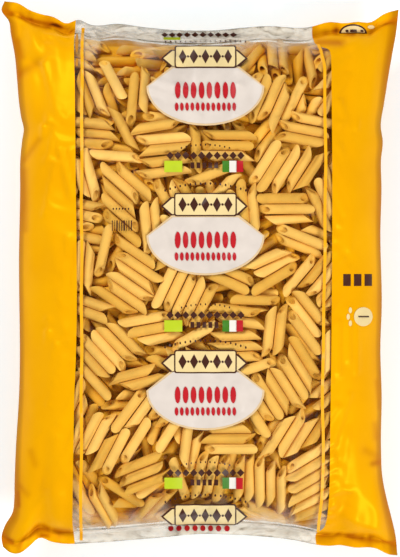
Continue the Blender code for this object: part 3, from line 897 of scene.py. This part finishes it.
def layered(made, share, under, over):
    """One shader, covered by another to that share."""
    node = add_node(made, "MixShader", Fac=share)
    made.node_tree.links.new(under, node.inputs[1])
    made.node_tree.links.new(over, node.inputs[2])
    return node.outputs["Shader"]


def clear_finish():
    """Clear film: a thin gloss over what lies behind it, and a white haze along the welds."""
    made = new_material("clear_film")
    nodes = made.node_tree.nodes
    nodes.remove(nodes["Principled BSDF"])
    through = add_node(made, "BsdfTransparent", Color=(0.985, 0.985, 0.98, 1)).outputs["BSDF"]
    gloss = add_node(made, "BsdfGlossy", Roughness=0.18).outputs["BSDF"]
    # The haze's whiteness: the painted light laid on the film, with wisps of noise.
    wisps = combined(made, "ADD", stored(made, "pale"), noise(made, 1, 5, 1.4, (55, 150, 80)))
    whiteness = shades(made, wisps, (0.34, (0.26, 0.22, 0.155)), (0.46, (0.62, 0.556, 0.446)),
                       (0.62, (0.86, 0.81, 0.70)))
    haze = add_node(made, "BsdfDiffuse", Color=whiteness).outputs["BSDF"]
    patches = spread(made, noise(made, 1, 4, 0, (42, 90, 60)), 0.32, 0.68, 0.45, 1.25)
    milky = combined(made, "MULTIPLY", stored(made, "haze"), patches)
    body = layered(made, milky, through, haze)
    shine = add_node(made, "Fresnel", IOR=1.1).outputs["Fac"]
    feed(made, nodes["Material Output"], Surface=layered(made, shine, body, gloss))
    return made


film, film_column = close_film()
film.data.materials.append(yellow_finish())
film.data.materials.append(clear_finish())
for face in film.data.polygons:
    columns = film_column[list(face.vertices)]
    in_window = columns.min() >= PANEL_COLUMNS and columns.max() <= PANEL_COLUMNS + WINDOW_COLUMNS
    in_weld = abs(along_packet(face.center.x, face.center.y)) > BACK_CLEAR
    face.material_index = 1 if in_window and (face.normal.z > 0 or in_weld) else 0
select_only(film)
bpy.ops.object.shade_smooth()
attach(film, "root")
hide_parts("packet")


# The fill
# Under the tubes that show lies the rest of the pasta, which is only seen as dark gaps.

CORE_DROP = 0.024
CORE_LUMPS = 0.0022
CORE_MARGIN = 0.008
CORE_OVERLAP = 0.012
CORE_END = 0.982
CORE_THICKNESS = 0.003


def fill_core():
    """A lumpy pillow inside the film, under the lowest tube that shows."""
    bpy.ops.mesh.primitive_grid_add(x_subdivisions=60, y_subdivisions=90, size=2)
    core = bpy.context.active_object
    core.name = "fill"
    start = places_of(core.data)
    x = (WINDOW_LEFT + WINDOW_RIGHT) / 2
    x = x + start[:, 0] * ((WINDOW_RIGHT - WINDOW_LEFT) / 2 + CORE_OVERLAP)
    along = start[:, 1] * CORE_END
    low, high = seal_lines(x)
    y = (low + high) / 2 + along * (high - low) / 2
    lumps = CORE_LUMPS * (dents(x, y * 2.2, 0.02, 7) + dents(y, x * 2.2, 0.02, 8))
    z = film_over_heap(x, y) - CORE_DROP + lumps
    under = film_under(x, y, x / BODY_HALF_WIDTH, along_packet(x, y))
    z = np.maximum(z, under + CORE_MARGIN)
    core.data.vertices.foreach_set("co", np.stack([x, y, z], 1).reshape(-1))
    # The whole core counts as deep, so the pasta finish paints it in full painted shade.
    lay_values(core.data, "depth", np.full(len(z), CORE_DROP))
    select_only(core)
    layer = core.modifiers.new("layer", "SOLIDIFY")
    layer.thickness = CORE_THICKNESS
    layer.offset = -1
    bpy.ops.object.modifier_apply(modifier="layer")
    bpy.ops.object.shade_smooth()
    return core


fill = fill_core()
fill.data.materials.append(pasta.data.materials[0])
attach(fill, "root")


# The print
# Inks on the film, laid as flat patches on its outside: pale labels with red ovals, cream plaques with
# brown rims, small green and striped patches, and a thin yellow line beside each side panel.
# Every mark is a plain shape.

PRINT_STEP = 0.0014
PRINT_LIFT = 0.0002
PRINT_START = 0.2

# The x of the middle of the window's print, and the y of its plaques, labels and rows of bars.
PRINT_X = 0.005
PLAQUES = (0.2046, 0.0679, -0.0763, -0.2186)
LABELS = (0.1683, 0.0307, -0.1116)
BAR_ROWS = (0.1074, -0.0391, -0.184)
LABEL_HALF, LABEL_SHOULDER, LABEL_TOP = 0.0525, 0.030, 0.0255
LABEL_MIDDLE, LABEL_DROP = 0.0085, 0.0345
BAR_DROP, BAR_HEIGHT = 0.0045, 0.0105
DISC_X, DISC_Y = 0.1507, -0.0353

# The thin yellow line beside each side panel, as points (y, x).
LINE_LENGTHS, LINE_WAVER, LINE_WIDTH = 80, 0.0003, 0.0028
LEFT_LINE = (
    (-0.2435, -0.1108), (-0.225, -0.1104), (-0.190, -0.1097), (-0.100, -0.1091), (0.100, -0.1089),
    (0.180, -0.1088), (0.215, -0.1092), (0.233, -0.1085),
)
RIGHT_LINE = (
    (-0.2355, 0.1093), (-0.225, 0.1099), (-0.215, 0.1111), (-0.205, 0.1124), (-0.191, 0.1131),
    (-0.144, 0.1132), (-0.117, 0.1129), (0.0, 0.1145), (0.118, 0.1155), (0.178, 0.1149),
    (0.1995, 0.1142), (0.207, 0.1125), (0.213, 0.1112), (0.2170, 0.1094),
)


def ink(name, colour):
    """A printed ink: one colour, a little mottled."""
    made = new_material(name)
    thin = tuple(0.9 * part for part in colour)
    shade = shades(made, noise(made, 60), (0.3, thin), (0.7, colour))
    feed_surface(made, Base_Color=shade, Roughness=0.4, Specular_IOR_Level=0.25)
    return made


def rectangle(x, y, width, height):
    """Corners of an upright rectangle round a centre."""
    w, h = width / 2, height / 2
    return [(x - w, y - h), (x + w, y - h), (x + w, y + h), (x - w, y + h)]


def rounded(x, y, width, height, radius, steps=5):
    """Outline of a rectangle with round corners."""
    corners = ((1, -1, -90), (1, 1, 0), (-1, 1, 90), (-1, -1, 180))
    outline = []
    for side, end, start in corners:
        for step in range(steps + 1):
            angle = math.radians(start + 90 * step / steps)
            outline.append((x + side * (width / 2 - radius) + radius * math.cos(angle),
                            y + end * (height / 2 - radius) + radius * math.sin(angle)))
    return outline


def print_on_film(name, shapes, finish, layer):
    """Shapes of one ink, cut from flat sheet in small squares and laid on the film."""
    bpy.ops.object.select_all(action="DESELECT")
    corners, faces = [], []
    for outline in shapes:
        faces.append(tuple(range(len(corners), len(corners) + len(outline))))
        corners.extend((x, y, PRINT_START) for x, y in outline)
    mesh = bpy.data.meshes.new(name)
    mesh.from_pydata(corners, [], faces)
    patch = bpy.data.objects.new(name, mesh)
    bpy.context.scene.collection.objects.link(patch)
    select_only(patch)
    flat = np.array(corners)
    bpy.ops.object.mode_set(mode="EDIT")
    for axis in (0, 1):
        normal = (1, 0, 0) if axis == 0 else (0, 1, 0)
        low, high = flat[:, axis].min() / PRINT_STEP, flat[:, axis].max() / PRINT_STEP
        for cut in PRINT_STEP * np.arange(math.ceil(low), math.ceil(high)):
            bpy.ops.mesh.select_all(action="SELECT")
            bpy.ops.mesh.bisect(plane_co=[cut * part for part in normal], plane_no=normal)
    bpy.ops.object.mode_set(mode="OBJECT")
    press = patch.modifiers.new("press", "SHRINKWRAP")
    press.target = film
    press.wrap_method = "PROJECT"
    press.use_project_z = True
    press.use_negative_direction = True
    press.use_positive_direction = False
    press.wrap_mode = "ABOVE_SURFACE"
    press.offset = PRINT_LIFT * layer
    bpy.ops.object.modifier_apply(modifier="press")
    bpy.ops.object.shade_smooth()
    mesh.materials.append(finish)
    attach(patch, "root")
    return patch


def oval(x, y, width, height, steps=14):
    """Outline of an upright oval."""
    turns = [2 * math.pi * step / steps for step in range(steps)]
    return [(x + width / 2 * math.cos(turn), y + height / 2 * math.sin(turn)) for turn in turns]


def lozenge(x, y, width, height):
    """Outline of an upright lozenge."""
    return [(x, y - height / 2), (x + width / 2, y), (x, y + height / 2), (x - width / 2, y)]


def row_of(shape, count, x, y, span, width, height):
    """The same shape, that many times along a row."""
    return [shape(x + span * (k / (count - 1) - 0.5), y, width, height) for k in range(count)]


def badge(x, y, grow):
    """Half an oval with a cut-off top, made larger all round by the amount given."""
    top, wider = y + LABEL_TOP + grow, grow / 2
    outline = [(x + LABEL_SHOULDER + wider, top), (x - LABEL_SHOULDER - wider, top)]
    for step in range(21):
        turn = math.pi + math.pi * step / 20
        outline.append((x + (LABEL_HALF + grow) * math.cos(turn),
                        y + LABEL_MIDDLE + (LABEL_DROP + grow) * math.sin(turn)))
    return outline


def ticket(x, y, width, height, point):
    """A plate whose two ends come to a point."""
    w, h = width / 2, height / 2
    return [(x - w + point, y - h), (x + w - point, y - h), (x + w, y), (x + w - point, y + h),
            (x - w + point, y + h), (x - w, y)]


def arc_of_dots(count, x, y, half, drop, size):
    """Small dots along a shallow arc, highest in the middle."""
    shares = [2 * k / (count - 1) - 1 for k in range(count)]
    return [oval(x + half * share, y - drop * share * share, size, size * 1.5, 8) for share in shares]


def thin_line(route):
    """Short lengths of a thin line along the route, given as (y, x) points."""
    y = np.linspace(route[0][0], route[-1][0], LINE_LENGTHS + 1)
    x = smooth_curve(route, y) + LINE_WAVER * np.sin(y * 72)
    w = LINE_WIDTH / 2
    return [[(x[k] - w, y[k]), (x[k] + w, y[k]), (x[k + 1] + w, y[k + 1]), (x[k + 1] - w, y[k + 1])]
            for k in range(LINE_LENGTHS)]


def arch(x, y, width, height, steps=14):
    """Outline of half an oval that stands on its flat side."""
    turns = [math.pi * step / steps for step in range(steps + 1)]
    return [(x + width / 2 * math.cos(turn), y + height * math.sin(turn)) for turn in turns]


lines = thin_line(LEFT_LINE) + thin_line(RIGHT_LINE)
print_on_film("yellow_lines", lines, ink("line_yellow", (0.91, 0.412, 0.0012)), 1)
# Two amber ovals between the left print's edge and the yellow line, near the top end.
amber_marks = [oval(-0.1140, 0.2180, 0.0030, 0.0190), oval(-0.1137, 0.1995, 0.0024, 0.0080)]
print_on_film("amber_marks", amber_marks, ink("amber_patch", (0.52, 0.21, 0.012)), 1)

label_edges = [badge(PRINT_X, y, 0.0018) for y in LABELS]
print_on_film("label_edges", label_edges, ink("edge_cream", (0.70, 0.50, 0.27)), 1)
label_fields = [badge(PRINT_X, y, 0.0) for y in LABELS]
print_on_film("label_fields", label_fields, ink("label_white", (0.66, 0.58, 0.51)), 2)

plaque_rims = [ticket(PRINT_X - 0.001, y - 0.0015, 0.080, 0.017, 0.009) for y in PLAQUES]
plaque_rims += [arch(0.1423, 0.2277, 0.0260, 0.0087)]
plaque_rims += row_of(rectangle, 3, 0.1455, -0.0014, 0.020, 0.007, 0.011)
print_on_film("plaque_rims", plaque_rims, ink("rim_brown", (0.055, 0.012, 0.003)), 1)
plaque_plates = [ticket(PRINT_X - 0.001, y - 0.0015, 0.0755, 0.0145, 0.0082) for y in PLAQUES]
plaque_plates += [arch(0.1423, 0.2286, 0.0218, 0.0063), oval(DISC_X, DISC_Y, 0.0176, 0.0176, 28)]
for k in (-1, 0, 1):
    plaque_plates += [oval(0.1385 - 0.002 * (1 - k * k), DISC_Y - 0.006 * k, 0.003, 0.0055)]
plaque_plates += [oval(0.1590, 0.2340, 0.0066, 0.0034)]
print_on_film("plaque_plates", plaque_plates, ink("plate_cream", (0.78, 0.60, 0.28)), 2)
plaque_frames = [rounded(PRINT_X, y, 0.0575, 0.0215, 0.002) for y in PLAQUES]
print_on_film("plaque_frames", plaque_frames, ink("frame_brown", (0.055, 0.012, 0.003)), 3)
plaque_fields = [rounded(PRINT_X, y, 0.0550, 0.0190, 0.0015) for y in PLAQUES]
print_on_film("plaque_fields", plaque_fields, ink("field_cream", (0.78, 0.60, 0.28)), 4)

brown_marks = []
for y in PLAQUES:
    brown_marks += row_of(lozenge, 5, PRINT_X, y, 0.042, 0.0075, 0.0135)
    brown_marks += row_of(oval, 4, PRINT_X, y, 0.0315, 0.0022, 0.0022)
    if y < 0.2:
        brown_marks += arc_of_dots(17, PRINT_X, y + 0.0195, 0.037, 0.0065, 0.0017)
brown_marks += arc_of_dots(17, PRINT_X, 0.2200, 0.037, 0.0012, 0.0015)
for y in BAR_ROWS:
    brown_marks += row_of(lozenge, 10, PRINT_X, y + 0.0055, 0.065, 0.0068, 0.0072)
    brown_marks += row_of(rectangle, 5, PRINT_X - 0.001, y - 0.0035, 0.022, 0.0035, 0.0055)
    brown_marks += arc_of_dots(11, PRINT_X, y + 0.0155, 0.022, 0.003, 0.0014)
brown_marks += row_of(lozenge, 10, -0.001, 0.2268, 0.064, 0.0068, 0.0045)
stripes = (0.0009, 0.0005, 0.0013, 0.0006, 0.0010, 0.0015, 0.0005, 0.0009, 0.0012)
brown_marks += [rectangle(-0.0805 + 0.0022 * k, 0.0486, width, 0.0095) for k, width in enumerate(stripes)]
brown_marks += row_of(oval, 6, -0.0725, 0.0640, 0.014, 0.0014, 0.0020)
brown_marks += [rectangle(DISC_X, DISC_Y, 0.0100, 0.0012), rectangle(0.1425, 0.2304, 0.0058, 0.0022)]
brown_marks += row_of(oval, 2, 0.1435, 0.2303, 0.0135, 0.0030, 0.0022)
print_on_film("brown_marks", brown_marks, ink("mark_brown", (0.05, 0.010, 0.003)), 5)

red_marks = []
for y in LABELS:
    red_marks += row_of(oval, 8, PRINT_X, y + 0.0047, 0.051, 0.0052, 0.0155)
    red_marks += row_of(oval, 12, PRINT_X, y - 0.0105, 0.053, 0.0034, 0.0078)
red_marks += row_of(oval, 8, -0.001, -0.2325, 0.052, 0.0050, 0.0055)
red_marks += [rectangle(PRINT_X + 0.0315, y - BAR_DROP, 0.0060, BAR_HEIGHT) for y in BAR_ROWS]
print_on_film("red_marks", red_marks, ink("mark_red", (0.46, 0.006, 0.012)), 5)

green_fields = [rectangle(PRINT_X - 0.0295, y - BAR_DROP, 0.0165, BAR_HEIGHT) for y in BAR_ROWS]
green_fields += [rectangle(-0.026, 0.2232, 0.016, 0.0024)]
print_on_film("green_fields", green_fields, ink("field_green", (0.47, 0.58, 0.012)), 1)
green_bars = [rectangle(PRINT_X + 0.0187, y - BAR_DROP, 0.0062, BAR_HEIGHT) for y in BAR_ROWS]
print_on_film("green_bars", green_bars, ink("bar_green", (0.046, 0.19, 0.008)), 1)
white_bars = [rectangle(PRINT_X + 0.0252, y - BAR_DROP, 0.0065, BAR_HEIGHT) for y in BAR_ROWS]
print_on_film("white_bars", white_bars, ink("bar_white", (0.78, 0.74, 0.66)), 1)


# Table, lights and camera
# The packet lies on a plain pale table under two soft boxes. The camera looks straight down on it.

CAMERA_HEIGHT = 5.0
# The view is 557 pixels long, and a pixel shows 0.93 mm of the packet.
VIEW_LENGTH = 557 * 0.00093

bpy.ops.mesh.primitive_plane_add(size=12, location=(0, 0, -0.0004))
table = bpy.context.active_object
table.name = "table"
pale = new_material("pale_table")
feed_surface(pale, Base_Color=(0.95, 0.96, 0.97, 1), Roughness=0.7,
             Emission_Color=(0.45, 0.85, 1.0, 1), Emission_Strength=0.16)
table.data.materials.append(pale)

for name, place, power, size in (
    ("key_box", (-1.7, 1.9, 2.6), 84, 1.5),
    ("fill_box", (1.9, -2.0, 2.6), 98, 1.6),
):
    lamp = bpy.data.lights.new(name, "AREA")
    lamp.energy = power
    lamp.size = size
    box = bpy.data.objects.new(name, lamp)
    bpy.context.scene.collection.objects.link(box)
    box.location = place
    box.rotation_euler = (Vector((0, 0, 0.05)) - Vector(place)).to_track_quat("-Z", "Y").to_euler()

world = bpy.data.worlds.new("studio")
bpy.context.scene.world = world
world.use_nodes = True
world.node_tree.nodes["Background"].inputs["Color"].default_value = (1, 1, 1, 1)
world.node_tree.nodes["Background"].inputs["Strength"].default_value = 0.46

lens = bpy.data.cameras.new("camera")
lens.sensor_fit = "VERTICAL"
lens.sensor_height = 36
lens.lens = 36 * (CAMERA_HEIGHT - SEAL_HEIGHT) / VIEW_LENGTH
lens.clip_end = 30
camera = bpy.data.objects.new("camera", lens)
bpy.context.scene.collection.objects.link(camera)
camera.location = (0, 0, CAMERA_HEIGHT)
bpy.context.scene.camera = camera
